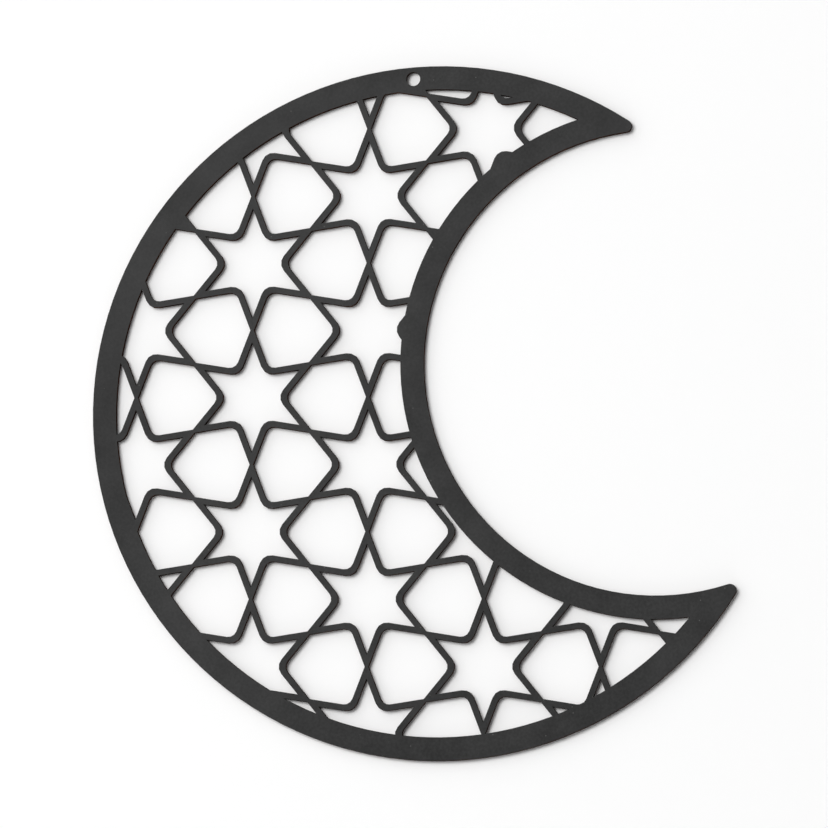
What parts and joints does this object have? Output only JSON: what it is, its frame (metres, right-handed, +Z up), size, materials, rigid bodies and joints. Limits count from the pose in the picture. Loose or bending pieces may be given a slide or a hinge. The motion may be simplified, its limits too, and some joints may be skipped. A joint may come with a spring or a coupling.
{
  "type": "eid crescent ornament",
  "caption": "Flat laser-cut crescent moon ornament in faced board, with a lattice of six-pointed stars inside a plain rim and a hanging hole at the top.",
  "frame": {"origin": "centre of the hanging hole, midway through the thickness of the board", "axes": "+Z up as in the picture, +X to the right of someone facing the front, -Y out of the front face and +Y towards the wall"},
  "size_m": [0.2783, 0.003, 0.3],
  "materials": {
    "charred_core": "matte",
    "black_facing": "matte"
  },
  "bodies": {
    "root": {"core_board": "charred_core", "front_facing": "black_facing", "back_facing": "black_facing"}
  },
  "joints": []
}
